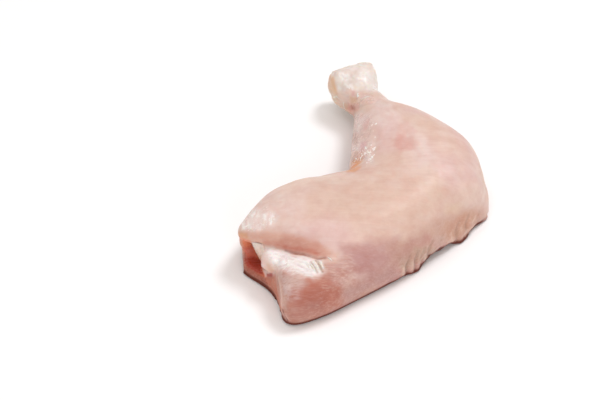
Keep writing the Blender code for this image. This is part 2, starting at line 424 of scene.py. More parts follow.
class Nodes:
    """Short ways to make and join the nodes of one material."""

    def __init__(self, name):
        self.material = bpy.data.materials.new(name)
        self.material.use_nodes = True
        self.tree = self.material.node_tree
        self.shader = self.tree.nodes["Principled BSDF"]

    def make(self, kind, links=(), **settings):
        node = self.tree.nodes.new(kind)
        for name, value in settings.items():
            if hasattr(node, name):
                setattr(node, name, value)
            else:
                node.inputs[name.replace("_", " ")].default_value = value
        for name, source in links:
            self.tree.links.new(source, node.inputs[name])
        return node

    def attribute(self, name, output):
        return self.make("ShaderNodeAttribute", attribute_name=name).outputs[output]

    def noise(self, place, scale, detail, roughness):
        settings = {"Scale": scale, "Detail": detail, "Roughness": roughness}
        return self.make("ShaderNodeTexNoise", [("Vector", place)], **settings).outputs["Fac"]

    def scaled(self, place, factors):
        node = self.make("ShaderNodeVectorMath", operation="MULTIPLY")
        self.tree.links.new(place, node.inputs[0])
        node.inputs[1].default_value = factors
        return node.outputs[0]

    def spread(self, value, low, high, to_low, to_high):
        node = self.make("ShaderNodeMapRange", [("Value", value)])
        for name, number in (("From Min", low), ("From Max", high), ("To Min", to_low), ("To Max", to_high)):
            node.inputs[name].default_value = number
        return node.outputs["Result"]

    def maths(self, operation, first, second):
        node = self.make("ShaderNodeMath", operation=operation)
        for k, value in enumerate((first, second)):
            if isinstance(value, (int, float)):
                node.inputs[k].default_value = value
            else:
                self.tree.links.new(value, node.inputs[k])
        return node.outputs[0]

    def mix(self, share, first, second, blend="MIX"):
        node = self.make("ShaderNodeMix", data_type="RGBA", blend_type=blend)
        for socket, value in ((node.inputs[0], share), (node.inputs[6], first), (node.inputs[7], second)):
            if isinstance(value, (int, float, tuple)):
                socket.default_value = (*value, 1) if isinstance(value, tuple) else value
            else:
                self.tree.links.new(value, socket)
        return node.outputs[2]

    def bump(self, height, strength, distance, normal=None):
        links = [("Height", height)] + ([("Normal", normal)] if normal else [])
        node = self.make("ShaderNodeBump", links, Strength=strength, Distance=distance)
        return node.outputs["Normal"]

    def feed(self, name, source):
        if isinstance(source, (int, float, tuple)):
            self.shader.inputs[name].default_value = source
        else:
            self.tree.links.new(source, self.shader.inputs[name])


# The fine structure of meat and tendon: noise in cycles a millimetre along, across and through the grain, and
# in cycles a metre where it has no direction.
FIBRE_SCALE = (0.09, 1.3, 0.9)
BUNDLE_SCALE = (0.05, 0.35, 0.3)
WRINKLE_SCALE = (0.16, 1.0, 0.8)
CLOUD_SCALE = 150.0
BEAD_SCALE = 620.0
MOTTLE_SCALE = 700.0
SPECK_SCALE = 900.0
FLASH_SCALE = 1600.0
# The light and dark lines of the fibres, the clouds between them, torn white film, and painted flashes of
# highlight.
LIGHT_LINE = (240, 224, 214)
DARK_LINE = (222, 178, 164)
CLOUD = (232, 196, 186)
FILM_WHITE = (247, 241, 240)
FLASH = (250, 246, 242)

# The table's half width in metres and its colour, and the light of the room.
FLOOR_REACH = 6.0
TABLE_COLOUR = (0.97, 0.97, 0.968, 1)
ROOM_COLOUR = (1.0, 0.91, 0.84, 1)
ROOM_STRENGTH = 0.48
# The lamps: name, place and size in metres, watts, colour.
LAMPS = (
    ("key", (0.55, 0.45, 1.3), 0.5, 8.8, (0.98, 1.0, 1.04)),
    ("overhead", (-0.2, 0.0, 1.6), 1.6, 6.2, (0.98, 1.0, 1.04)),
    ("fill_left", (-0.6, -1.25, 0.6), 0.9, 3.4, (0.98, 1.0, 1.03)),
    ("fill_right", (0.5, -1.3, 0.6), 0.9, 3.8, (0.98, 1.0, 1.03)),
    ("sparkle", (-0.75, 0.75, 1.0), 0.12, 0.7, (1, 1, 1)),
)


def meat_material():
    """Moist meat: its tint as painted, with fibres, white film and flashes where the skin says so."""
    n = Nodes("raw_meat")
    place = n.make("ShaderNodeTexCoord").outputs["Object"]
    grain = n.attribute("grain", "Vector")
    tint = n.attribute("tint", "Color")
    wet, fibre, film, glint = (n.attribute(name, "Fac") for name in Skin.FINISH)

    fibres = n.noise(n.scaled(grain, FIBRE_SCALE), 1.0, detail=3.0, roughness=0.6)
    bundles = n.noise(n.scaled(grain, BUNDLE_SCALE), 1.0, detail=2.0, roughness=0.5)
    wrinkles = n.noise(n.scaled(grain, WRINKLE_SCALE), 1.0, detail=3.0, roughness=0.65)
    clouds = n.noise(place, CLOUD_SCALE, detail=3.0, roughness=0.6)
    specks = n.noise(place, SPECK_SCALE, detail=2.0, roughness=0.5)
    grains = n.noise(place, FLASH_SCALE, detail=1.0, roughness=0.5)
    drops = n.noise(place, BEAD_SCALE, detail=1.0, roughness=0.4)

    light_lines = n.maths("MULTIPLY", n.spread(fibres, 0.45, 0.75, 0.0, 0.35), fibre)
    dark_lines = n.maths("MULTIPLY", n.spread(bundles, 0.5, 0.25, 0.0, 0.45), fibre)
    cloudy = n.spread(clouds, 0.6, 0.35, 0.0, 0.25)
    torn = n.maths("MULTIPLY", film, n.spread(wrinkles, 0.3, 0.62, 0.2, 1.0))
    # flash: white specks mixed into the base colour where glint is set, painted highlights
    flash = n.spread(n.maths("ADD", grains, n.maths("MULTIPLY", glint, 0.42)), 0.8, 0.91, 0.0, 0.95)
    colour = n.mix(light_lines, tint, linear(*LIGHT_LINE))
    colour = n.mix(dark_lines, colour, linear(*DARK_LINE), "MULTIPLY")
    colour = n.mix(cloudy, colour, linear(*CLOUD), "MULTIPLY")
    colour = n.mix(torn, colour, linear(*FILM_WHITE))
    colour = n.mix(flash, colour, linear(*FLASH))
    n.feed("Base Color", colour)

    drier = n.spread(specks, 0.3, 0.7, 0.62, 0.5)
    rough = n.maths("SUBTRACT", drier, n.maths("MULTIPLY", wet, 0.34))
    n.feed("Roughness", rough)
    lines = n.bump(n.maths("MULTIPLY", fibres, fibre), 0.4, 0.0004)
    wrinkled = n.bump(n.maths("MULTIPLY", wrinkles, film), 0.35, 0.0006, lines)
    beads = n.maths("MULTIPLY", drops, n.spread(wet, 0.4, 1.0, 0.2, 1.0))
    n.feed("Normal", n.bump(beads, 0.4, 0.0004, wrinkled))
    n.feed("Subsurface Weight", 0.3)
    n.feed("Subsurface Radius", (1.0, 0.4, 0.25))
    n.feed("Subsurface Scale", 0.0022)
    n.feed("Specular IOR Level", 0.3)
    n.feed("Coat Weight", 0.1)
    n.feed("Coat Roughness", 0.25)
    return n.material


def tendon_material():
    """Two colours mixed by a fine noise, moist, and letting some light through."""
    n = Nodes("tendon")
    place = n.make("ShaderNodeTexCoord").outputs["Object"]
    mottle = n.noise(place, MOTTLE_SCALE, detail=2.0, roughness=0.6)
    n.feed("Base Color", n.mix(n.spread(mottle, 0.35, 0.65, 0.0, 1.0), linear(*TENDON), linear(*TENDON_DEEP)))
    n.feed("Roughness", 0.3)
    n.feed("Normal", n.bump(mottle, 0.4, 0.0003))
    n.feed("Subsurface Weight", 0.5)
    n.feed("Subsurface Radius", (1.0, 0.6, 0.4))
    n.feed("Subsurface Scale", 0.002)
    return n.material


def make_floor():
    mesh = bpy.data.meshes.new("floor")
    corners = [(x * FLOOR_REACH, y * FLOOR_REACH, 0) for x, y in ((-1, -1), (1, -1), (1, 1), (-1, 1))]
    mesh.from_pydata(corners, [], [(0, 1, 2, 3)])
    floor = bpy.data.objects.new("floor", mesh)
    bpy.context.scene.collection.objects.link(floor)
    n = Nodes("white_table")
    n.feed("Base Color", TABLE_COLOUR)
    n.feed("Roughness", 0.6)
    mesh.materials.append(n.material)


def area_light(name, place, size, watts, colour):
    """A round lamp that faces the leg."""
    data = bpy.data.lights.new(name, "AREA")
    data.shape = "DISK"
    data.size = size
    data.energy = watts
    data.color = colour
    light = bpy.data.objects.new(name, data)
    light.location = place
    light.rotation_euler = (Vector((0, 0, 0)) - Vector(place)).to_track_quat("-Z", "Y").to_euler()
    bpy.context.scene.collection.objects.link(light)


def make_light():
    world = bpy.data.worlds.new("studio")
    world.use_nodes = True
    background = world.node_tree.nodes["Background"]
    background.inputs["Color"].default_value = ROOM_COLOUR
    background.inputs["Strength"].default_value = ROOM_STRENGTH
    scene = bpy.context.scene
    scene.world = world
    for lamp in LAMPS:
        area_light(*lamp)
    scene.view_settings.view_transform = "Standard"
    scene.view_settings.look = "None"


# ---------------------------------------------------------------- colours and places

# How the tissues look in the photograph.
MEAT = (229, 198, 183)
MEAT_PINK = (229, 196, 190)
MEAT_PALE = (234, 208, 196)
FASCIA = (240, 220, 212)
WHITE = (247, 241, 238)
CREAM = (240, 231, 223)
FAT = (230, 168, 122)
FAT_MIDDLE_ORANGE = (229, 148, 92)
FAT_EDGE_ORANGE = (228, 164, 124)
FAT_BEHIND = (231, 172, 134)
FAT_FADING = (229, 170, 130)
LIP = (226, 180, 162)
LIP_RED = (206, 128, 110)
ORANGE_WALL = (236, 140, 100)
DEEP_RED_AND_SHADE = (180, 70, 52)
SALMON = (200, 142, 126)
RED = (184, 84, 72)
MAUVE = (204, 154, 150)
BROWN_PINK = (212, 162, 142)
GREY_TAN = (200, 166, 146)
FOOT_JUICE_AND_SHADE = (106, 44, 26)
CARTILAGE = (220, 221, 221)
CARTILAGE_BLUE = (204, 210, 215)
KNUCKLE_RIM = (240, 222, 196)
VEIN = (180, 116, 118)
SEAM = (238, 208, 184)
FOOT_RED_AND_SHADE = (172, 104, 86)
BAND_END = (226, 196, 178)
TIP_PINK = (238, 214, 206)
TIP_PALE_SHEEN = (242, 222, 215)
HEM_SHADE = (162, 122, 102)
HEM_LIGHT = (234, 208, 192)
HEM_TIP_HIGHLIGHT = (240, 216, 200)
SHEEN = (252, 246, 242)
LIP_PALE = (232, 186, 170)
LIP_SHADE = (160, 96, 80)
FASCIA_PINK = (212, 180, 174)
CEILING = (214, 128, 98)
GAP_BROWN = (182, 134, 104)
RIM_PINK = (232, 200, 186)
RIM_SHADE = (132, 60, 50)
MEMBRANE_TOP = (247, 224, 212)
MEMBRANE_FOOT = (230, 176, 146)
TENDON = (246, 236, 224)
TENDON_DEEP = (232, 214, 200)

# Lines in the photograph, in pixels: the lip over the open cut, and the line under it.
LIP_TOP = [(237, 231), (249, 232), (264, 232), (284, 234.5), (303, 238), (316, 242), (326, 247.5), (336, 256)]
LIP_EDGE = [
    (239.5, 237.7), (251, 241.4), (265, 243.8), (276, 245.6), (285.6, 248.6), (293, 251), (303, 252),
    (310, 254), (317, 256), (324, 255.8),
]
LIP_LINE = [(266, 242.6), (276, 244.4), (285, 247), (295, 249), (306, 250.6), (316, 253)]
UNDER_LIP = [
    (265, 245.6), (276, 247.6), (285.5, 250.6), (293, 253), (303, 254), (311, 256.2), (318, 258),
    (325, 257.5),
]
# How far above its edge the lip is thickest, in pixels.
LIP_ROLL = 3.5
# The edge of the bone's end, the rim of the flap below it, and the rim's foot.
BONE_END_EDGE = [(264, 250), (263, 258), (263.5, 267), (266.5, 274)]
RIM = [(278.5, 278), (281, 286), (282.5, 296), (282, 304), (283.5, 311), (287, 319)]
RIM_FOOT = [(283.5, 310), (285, 316), (287, 321.5)]
# The brown gaps between the pale bars of tissue at the inner end of the lip, and how strong each one is.
FIBRE_GAPS = (
    [(307, 262.6), (310.5, 267), (312, 271)], [(310.6, 262.2), (314.4, 267), (317.4, 272.4)],
    [(315.8, 260.4), (319, 265), (322.4, 271.6)], [(320.6, 259), (323.4, 263), (326, 268)],
)
FIBRE_GAP_STRENGTHS = (0.2, 0.55, 0.7, 0.3)
# The thin pink lines in the white tissue under the lip, and round its two small lumps.
FASCIA_LINES = (
    [(272, 249.5), (284, 253.2), (296, 257), (308, 260.4)],
    [(274, 253.5), (286, 257), (298, 261), (309, 265)],
    [(288, 261), (300, 266.4), (308, 270.6)],
    [(287, 265.4), (296, 269), (304, 274)],
    [(270.5, 258.4), (274, 256.8), (277.8, 259), (277.6, 263.6), (274, 266.6)],
    [(279.4, 258.6), (283, 257.2), (286.8, 259.8), (286.2, 264.6), (282.4, 266.6)],
)
# The band of tendon over the knee, and the crest between the knuckle's top and its shaded flank.
TENDON_BAND = [(408, 128), (418, 140), (426, 156), (431, 172), (434, 188)]
FLANK_CREST = [(331, 73.5), (335, 83), (338.6, 92), (346, 102), (355.5, 113.5)]

# Relief: a line in pixels, its width and its depth in millimetres. A ridge has a negative depth.
LIP_RELIEF = (
    ([(x, y - LIP_ROLL) for x, y in LIP_EDGE], 4.5, -0.6),
    (UNDER_LIP[:3], 1.4, 0.35),
    (UNDER_LIP[2:], 1.6, 1.0),
    (BONE_END_EDGE, 3.0, -0.8),
    ([(266, 277), (271, 275), (276, 273)], 1.8, 0.8),
    (RIM, 2.0, -0.7),
    ([(274, 280), (276, 290), (278, 300)], 2.2, 0.9),
)
TISSUE_RELIEF = (
    ([(272, 268), (280, 270), (288, 274)], 1.3, -0.4),
    ([(297, 262), (308, 268), (315, 276)], 1.3, -0.3),
    ([(312, 260), (318, 271)], 1.3, -0.5),
    ([(315.5, 259.5), (321.5, 271)], 1.3, 0.4),
    ([(319, 259), (324, 269)], 1.3, -0.4),
    ([(327, 257), (333, 258.5), (337, 262)], 1.3, -0.3),
)
DRUMSTICK_RELIEF = (
    ([(378, 125), (376, 140), (373, 155), (369, 166)], 2.8, 0.25),
    (TENDON_BAND, 4.5, -0.3),
    ([(388, 104), (398, 117), (406, 131), (411, 148)], 2.6, 0.3),
    ([(404, 130), (408, 142)], 6.0, 0.3),
)
KNUCKLE_RELIEF = (
    ([(333.5, 98.5), (335.5, 96), (338, 96), (340, 98.5)], 1.4, -0.8),
    ([(333, 101), (337, 99.5), (341, 102)], 1.3, 0.6),
    ([(344, 101.5), (345.5, 105), (346.5, 109)], 1.5, -0.9),
    ([(348, 101), (348.5, 105), (349.5, 110)], 1.4, 0.8),
    ([(339, 92), (345, 94.5), (350, 98)], 1.5, 0.5),
    ([(357.5, 93), (359, 96), (358.5, 99)], 1.4, -0.7),
    ([(361, 101), (366, 98.5), (371, 97.5)], 1.4, -0.7),
    ([(352, 106), (352.5, 110)], 2.0, 0.7),
    ([(349, 112), (356, 108), (364, 105.5), (374, 103), (381, 97)], 1.9, 0.5),
    (FLANK_CREST[:3], 2.0, -0.35),
    ([(349, 73), (351, 78), (355, 80)], 1.6, 0.5),
    ([(362, 82), (365, 85), (364, 89)], 1.6, 0.45),
    ([(340, 73), (343, 78), (341, 83)], 1.4, 0.4),
)
# Small lumps: where they show in pixels, how high and how wide they are in millimetres.
GRISTLE_LUMPS = (((274, 261.6), 0.7, 2.6), ((283, 262), 0.7, 2.8))
FAT_LUMP = ((354, 166), 0.7, 5.0)

# The fine lines in the meat beside the cut: one line's points, across the photograph and down from its row.
MEAT_LINE = ((322, 0.6), (338, -0.4), (352, 0.6))
MEAT_LINE_ROWS = [258 + 3.6 * k for k in range(10)]
# The creases that slant over the side of the drumstick: one crease's points, from the place where it starts.
CREASE = ((-1, 4), (5, 0), (11, -5))
CREASE_STARTS = [(355 + 1.7 * (k % 3), 116 + 4.6 * k) for k in range(10)]

# The folds of the hem at the right of the near side: the crest of each fold and the groove right of it.
HEM_CRESTS = (
    [(406, 260), (403, 268), (403.5, 275)], [(416, 252), (412.5, 262), (413, 269)],
    [(422, 250), (418.5, 259), (419.5, 265.5)], [(428.5, 247), (425.5, 255), (427, 261)],
    [(437, 237), (433.5, 246), (436, 255)], [(454, 224), (450.5, 234), (452, 243)],
    [(464, 217), (461, 227), (462, 236.5)], [(474, 213), (471, 221), (474, 228)],
)
HEM_GROOVES = (
    [(410, 256), (407, 266), (407.5, 274)], [(419, 251), (415.5, 260), (416.5, 267.5)],
    [(425.5, 248), (422, 257), (423.5, 263.5)], [(432.5, 242), (429.5, 250), (431, 258.5)],
    [(443, 235), (440, 243), (441, 251)], [(459, 222), (456, 231), (456.5, 240.5)],
    [(468.5, 216), (466, 225), (468, 233)], [(479, 212), (477, 218), (479, 224)],
)
# How deep each groove is, in millimetres; its crest is half as high.
HEM_DEPTHS = (0.75, 0.65, 0.4, 0.6, 0.2, 0.5, 0.55, 0.25)
# The thin edges of the hem's folds just above the table, from their lower ends up, painted pale as
# highlights.
HEM_TIPS = (
    [(400.6, 273.6), (402, 271), (403.4, 268)],
    [(411, 270), (412.2, 267), (413, 263.6)],
    [(419.4, 264.6), (421.6, 261), (423.8, 257.4)],
    [(425.2, 260.4), (427, 256.6)],
    [(436.8, 250), (442.6, 245.4), (448.6, 241.4), (451, 237)],
    [(459.8, 239), (465, 233.4), (470, 228.4), (474, 224.4)],
    [(472.4, 221.4), (475.2, 216)],
)

# How far the meat spreads where it meets the table: across the photograph in pixels, and in millimetres.
FOOT_SPREAD = (
    (286, -0.5), (320, -0.8), (350, -0.6), (390, -0.6), (404, 0.2), (416, -0.7), (428, -1.4), (442, -1.0),
    (451, 0.8), (458, 1.0), (464, -0.4), (471, 0.3), (480, 0.3), (490, 0.2),
)
# The heights between which that spreading fades out, and how far the lowest edge is pushed out to square it.
FOOT_FADE = (12, 2)
FOOT_EDGE = 1.8
# Where the dark line of juice and painted shade at the table fades out at the right, in pixels across the
# photograph.
FOOT_END = (478, 485)
# Where the hem lifts off the table, its underside is painted dark as shade: its two ends fade over these
# columns.
LIFTED_FROM = (424, 431)
LIFTED_TO = (459, 453)

# Grooves and seams on the sides that the photograph doesn't show: places in millimetres, width and depth.
HIDDEN_GROOVES = (
    ([(-26, -37, 12), (-14, -24, 15), (2, -13, 17), (18, -5, 17)], 4.0, 0.9),
    ([(-20, -38, 22), (-4, -22, 25), (12, -12, 26)], 2.4, 0.4),
    ([(30, 62, 10), (27, 44, 11), (26, 24, 13), (25, 8, 13)], 3.0, 0.7),
    ([(46, 62, 15), (60, 46, 14), (75, 32, 12), (90, 18, 9)], 3.6, 0.9),
    ([(52, 58, 22), (66, 40, 22), (82, 24, 20), (93, 6, 16)], 3.0, 0.5),
    ([(95, 4, 22), (95, -8, 20), (90, -20, 20)], 4.0, 0.5),
)
HIDDEN_VEINS = (
    [(-18, -30, 9), (-8, -22, 11), (4, -16, 9), (14, -8, 11)],
    [(64, 46, 8), (74, 36, 9), (82, 30, 6)],
    [(28, 52, 14), (27, 40, 17), (28, 30, 15)],
)
# The tip of the thigh, which is a little rougher than the rest.
ROUGH_TIP = [(238, 228), (252, 206), (270, 200), (276, 224), (262, 233), (240, 234)]

# Where the bare knuckle begins along Y, for its relief and for its paint, and the gristle on its end.
BARE_FROM = (62, 70)
BARE_TISSUE_FROM = (58, 68)
END_FROM = (80, 84)


# Patches of colour in the photograph: corners, how soft and how ragged the edge is, all in pixels, then
# colour and strength.
COLOUR_PATCHES = (
    # the knuckle: its shaded flank, and the stains over the neck
    ([(326, 71), (331, 73), (334, 83), (338, 92), (344, 99), (354, 112), (350, 118), (325, 102)], 2.4, 1.0,
     (234, 204, 178), 0.8),
    ([(329, 77), (333, 77), (336, 86), (337, 95), (331, 92)], 2.0, 0.6, (234, 190, 150), 0.8),
    ([(336, 92), (352, 89), (362, 94), (360, 104), (350, 104), (338, 104)], 3.0, 1.5, (240, 214, 202), 0.75),
    ([(350, 97), (357, 98), (358, 104), (351, 104)], 1.6, 0.8, (230, 190, 160), 0.8),
    ([(352, 91), (355, 91), (355, 96), (352, 96)], 1.4, 0.3, (226, 182, 178), 0.8),
    ([(348, 104), (359, 104), (358, 111), (352, 116), (347, 110)], 1.8, 0.8, (232, 182, 166), 0.85),
    ([(351, 105.5), (355, 106), (354.5, 110), (351, 109.5)], 1.6, 0.3, (198, 138, 122), 0.85),
    ([(361, 95), (369, 95), (368, 101), (361, 101)], 2.0, 0.6, (242, 218, 214), 0.7),
    ([(364, 70), (380, 70), (383, 92), (366, 92)], 3.5, 1.5, (242, 235, 230), 0.65),
    ([(336, 76), (344, 74), (345, 84), (339, 86)], 2.5, 1.0, (244, 238, 228), 0.75),
    ([(350, 70), (359, 70), (358, 86), (348, 86)], 3.0, 1.5, (226, 212, 203), 0.6),
    # the left side of the drumstick, and its neck
    ([(354, 116), (374, 112), (376, 140), (372, 161), (350, 168)], 5.0, 3.0, (233, 209, 202), 0.8),
    ([(362, 124), (369, 120), (368, 128), (363, 131)], 2.4, 1.0, (228, 184, 178), 0.7),
    ([(353, 135), (357, 132), (358, 143), (353, 145)], 2.0, 1.0, (206, 162, 148), 0.8),
    ([(361, 142), (366, 142), (364, 150), (360, 150)], 2.4, 1.0, (224, 178, 180), 0.7),
    ([(352, 151), (364, 152), (366, 160), (353, 160)], 3.0, 1.2, (222, 176, 158), 0.7),
    ([(368, 98), (392, 102), (402, 122), (384, 134), (376, 122)], 5.0, 2.0, (238, 214, 208), 0.75),
    # the thigh's far edge: a thin paler band of painted highlight along its rim
    ([(262, 202), (285, 183), (310, 176), (345, 171), (346, 177), (310, 184), (287, 193), (268, 208)],
     4.0, 2.0, (242, 218, 204), 0.8),
    # the bare muscle on the front of the drumstick
    ([(398, 124), (408, 121), (416, 132), (416, 150), (402, 151), (394, 146), (397, 136)], 3.0, 2.5,
     (224, 177, 167), 0.9),
    # the thigh's near side: darker and browner, partly its own colour and partly painted shade
    ([(340, 246), (372, 241), (398, 240), (396, 262), (372, 278), (348, 276)], 7.0, 3.0,
     (202, 155, 149), 0.85),
    ([(352, 254), (374, 250), (386, 256), (372, 270), (356, 272)], 7.0, 3.0, (194, 142, 138), 0.5),
    ([(388, 246), (410, 235), (440, 216), (470, 210), (486, 212), (482, 224), (446, 244), (420, 256),
      (396, 264)], 6.0, 2.5, (216, 178, 162), 0.85),
    ([(446, 222), (470, 212), (480, 214), (470, 230), (450, 240), (442, 234)], 4.0, 2.0,
     (213, 164, 139), 0.75),
    ([(410, 240), (426, 232), (434, 240), (420, 250), (408, 252)], 5.0, 2.0, (204, 152, 140), 0.6),
    ([(414, 248), (434, 246), (438, 251), (420, 264), (412, 262)], 3.0, 1.5, GREY_TAN, 0.8),
    ([(398, 256), (412, 252), (414, 266), (402, 274)], 3.0, 1.5, GREY_TAN, 0.8),
    ([(322, 290), (352, 284), (392, 266), (398, 276), (352, 304), (306, 320)], 8.0, 3.0,
     (194, 152, 145), 0.8),
    ([(322, 262), (352, 260), (352, 282), (326, 290)], 5.0, 2.0, (206, 160, 150), 0.85),
    ([(446, 205), (458, 204), (458, 213), (446, 214)], 5.0, 1.5, (228, 200, 166), 0.4),
    ([(388, 246), (410, 242), (414, 258), (394, 268)], 5.0, 2.0, (198, 150, 138), 0.6),
    # the knee: paler, partly its own colour and partly painted light where it turns down to the right
    ([(458, 184), (480, 182), (488, 198), (476, 206), (460, 204)], 7.0, 3.0, (238, 212, 199), 0.7),
    # the top of the thigh
    ([(330, 192), (372, 182), (430, 178), (444, 196), (424, 222), (372, 226), (336, 216)], 14.0, 6.0,
     (224, 192, 174), 0.6),
)
# The hollow of the open cut, and the patches of colour in the cut, in the same form as those above.
HOLLOW = [
    (238, 237), (250, 240.5), (254, 247), (261, 259), (263, 270), (266, 276), (273, 290), (262, 290),
    (240, 266),
]
CUT_PATCHES = (
    # the lip, and the hollow under it, darker red deeper in: the meat's own red, partly painted shade
    (LIP_TOP + LIP_EDGE[::-1], 5.0, 1.5, LIP, 0.9),
    (LIP_TOP[3:7] + LIP_EDGE[:2:-1], 4.0, 1.5, (210, 152, 134), 0.7),
    ([(237, 232), (247, 233), (250, 240), (239, 238)], 2.0, 0.5, (226, 170, 134), 0.9),
    (HOLLOW, 1.3, 0.0, ORANGE_WALL, 1.0),
    ([(236, 238), (242.4, 239), (245, 252), (247, 264), (248, 276), (238, 276)], 1.2, 0.4,
     (214, 152, 122), 0.9),
    # the reds deeper in the hollow: the meat's own red, partly painted shade
    ([(243, 247), (252, 246), (258, 256), (256, 262), (244, 262)], 3.0, 0.8, (218, 112, 92), 0.85),
    ([(238, 254), (245, 253), (247, 266), (240, 266)], 2.0, 0.5, (176, 112, 94), 0.85),
    ([(243.5, 258), (253, 257), (261, 260), (264, 276), (254, 273), (246, 269)], 1.8, 0.6, DEEP_RED_AND_SHADE, 1.0),
    ([(242, 266), (250, 269), (258, 274), (268, 279), (275, 292), (260, 294), (244, 276)], 1.4, 0.5,
     (178, 106, 86), 1.0),
    # the end of the bone, and the white tissue on it
    ([(263, 246), (270, 247), (276, 258), (277, 275), (265, 277), (262.5, 262)], 1.6, 0.5,
     (242, 216, 208), 0.95),
    ([(266, 264), (274, 262), (276, 272), (268, 273)], 2.4, 1.0, (234, 198, 174), 0.8),
    ([(267, 248), (286, 252), (310, 257.5), (322, 260), (322, 273), (298, 276), (282, 268), (271, 262)],
     3.0, 2.0, WHITE, 0.95),
    ([(279, 266), (292, 267), (300, 274), (294, 280), (280, 276)], 3.0, 2.0, (216, 178, 168), 0.8),
    # the flap of red meat below it
    ([(276, 274), (302, 276), (324, 276), (340, 288), (342, 308), (290, 326), (283, 300)], 8.0, 3.0,
     (197, 129, 110), 1.0),
    ([(279, 276), (298, 275), (306, 284), (296, 290), (284, 296)], 4.0, 3.0, (203, 165, 153), 0.8),
    ([(284, 286), (290, 285), (290, 293), (285, 294)], 2.0, 1.0, (220, 192, 186), 0.8),
    ([(288, 294), (316, 288), (334, 290), (330, 306), (296, 312)], 8.0, 4.0, (180, 108, 91), 0.75),
    ([(286, 307), (318, 302), (324, 312), (302, 324), (287, 322)], 5.0, 2.0, (186, 134, 122), 0.6),
    ([(265, 278), (275, 276), (279, 292), (283, 312), (270, 302)], 1.4, 0.6, (206, 131, 107), 0.95),
    ([(266, 273.5), (271, 273), (272.5, 277), (266.5, 277.5)], 1.2, 0.3, RED, 0.9),
)
# The white tissue under the lip, where highlights are painted on it, and the part of the flap that it runs
# out on.
WHITE_TISSUE = [
    (264, 248), (284, 253), (308, 259), (322, 261), (326, 270), (314, 280), (292, 274), (272, 266),
]
WHITE_FLASHES = [(268, 250), (292, 256), (290, 268), (270, 266)]
FLAP_FILM = [(278, 274), (304, 276), (300, 300), (284, 304)]
# A place in the hollow under the lip, whose ceiling the photograph doesn't show.
HOLLOW_MIDDLE = (250, 250)

# The fat in the crook of the leg: two places in it, its patches with corners, softness, colour and strength,
# the patch along the thigh's edge, its middle, and how it runs on from there, in millimetres.
CROOK = (355, 165)
CROOK_EDGE = (353, 170.5)
FAT_PATCHES = (
    ([(347, 160), (359, 158.5), (366, 161), (365, 168), (358, 171), (346, 173)], 3.0, FAT, 1.0),
    ([(349, 164), (358, 164.5), (357, 172), (348, 172)], 2.2, (232, 152, 96), 0.8),
)
FAT_EDGE = [(349, 166), (358, 165.5), (359, 170), (355, 172.5), (347, 172.5)]
FAT_MIDDLE = (353.6, 166.6)
FAT_PATH = [(27.5, 1, 23), (27, -4, 26), (26.8, -8, 29), (26.5, -12.6, 32)]

# The tip of the thigh, painted paler (partly its own colour, partly painted sheen), and the pale meat round
# it.
TIP = [(240, 228), (250, 211), (266, 206), (278, 216), (266, 231), (246, 232)]
TIP_ROUND = [(240, 230), (252, 208), (276, 192), (306, 196), (304, 230), (262, 232)]
# Where the skin is finished otherwise: corners, how soft and how ragged the edge is, in pixels, seed, finish.
FINISH_PATCHES = (
    ([(354, 114), (372, 112), (374, 140), (370, 161), (350, 168)], 6.0, 4.0, 59, {"wet": 0.9, "fibre": 0.4}),
    ([(356, 146), (376, 143), (374, 162), (354, 165)], 4.0, 2.0, 60, {"glint": 0.55}),
    (TIP, 4.0, 1.5, 6, {"wet": 1.0, "fibre": 0.1, "glint": 0.4}),
    ([(346, 92), (374, 92), (376, 102), (350, 108)], 3.0, 0.0, 0, {"wet": 0.9}),
    ([(320, 256), (352, 256), (358, 284), (322, 290)], 5.0, 0.0, 0, {"fibre": 1.0}),
)
# Painted highlights where the wet skin flashes: the middle of each flash in pixels, and its radius in
# millimetres.
GLINTS = (
    # low on the left side of the drumstick
    (356, 158.8, 0.8), (358.4, 159, 0.7), (360.6, 158.2, 0.8), (364.8, 152.8, 1.0), (367, 152.4, 0.8),
    (366, 148.2, 0.9), (369.2, 152, 0.8), (372, 156.4, 0.9), (374, 154.6, 0.8), (369.2, 159.8, 0.8),
    (371, 158.2, 0.7), (366.6, 162.8, 0.7), (366.8, 165.8, 0.7), (373.6, 149, 0.9), (375, 147, 0.6),
    (362, 155.6, 0.6), (359.4, 152.6, 0.5), (363.6, 160, 0.6), (357, 154.6, 0.5), (354.8, 161.6, 0.5),
    (371, 145.2, 0.5),
    # higher up on it, and on the knuckle
    (372, 125, 0.7), (373.4, 122.8, 0.6), (375.6, 124, 0.9), (370.8, 119.2, 0.6), (374.8, 137, 0.6),
    (373, 131, 0.5), (358.6, 94.4, 0.9), (359, 96.6, 0.8), (335.4, 97, 0.7), (337.2, 96.2, 0.6),
    (345.2, 104.6, 0.6), (345.8, 107.4, 0.6), (368.4, 98, 0.7), (370.6, 97.6, 0.7), (362, 100.8, 0.5),
)
# Soft patches of painted sheen on the wet tip of the thigh, made of fine streaks that run down it.
TIP_SHEEN = (
    [(241, 223), (247, 219), (249, 229), (242, 230)], [(249, 214), (258, 210), (259, 216), (250, 219)],
    [(257, 222), (262, 221), (263, 230), (257, 231)], [(269.6, 214), (275, 214), (275, 225), (270, 225)],
    [(249, 224), (254, 224), (254, 231), (249, 231)], [(263, 214), (267, 214), (267, 221), (263, 221)],
)
# Patches of painted sheen on the knuckle: white specks that stand for highlights on its wet tissue.
KNUCKLE_SHEEN = (
    [(338, 73), (346, 71), (348, 80), (341, 83)], [(360, 73), (368, 71), (370, 81), (362, 83)],
    [(345, 84), (353, 83), (353, 90), (346, 90)], [(371, 84), (378, 83), (378, 91), (372, 92)],
)
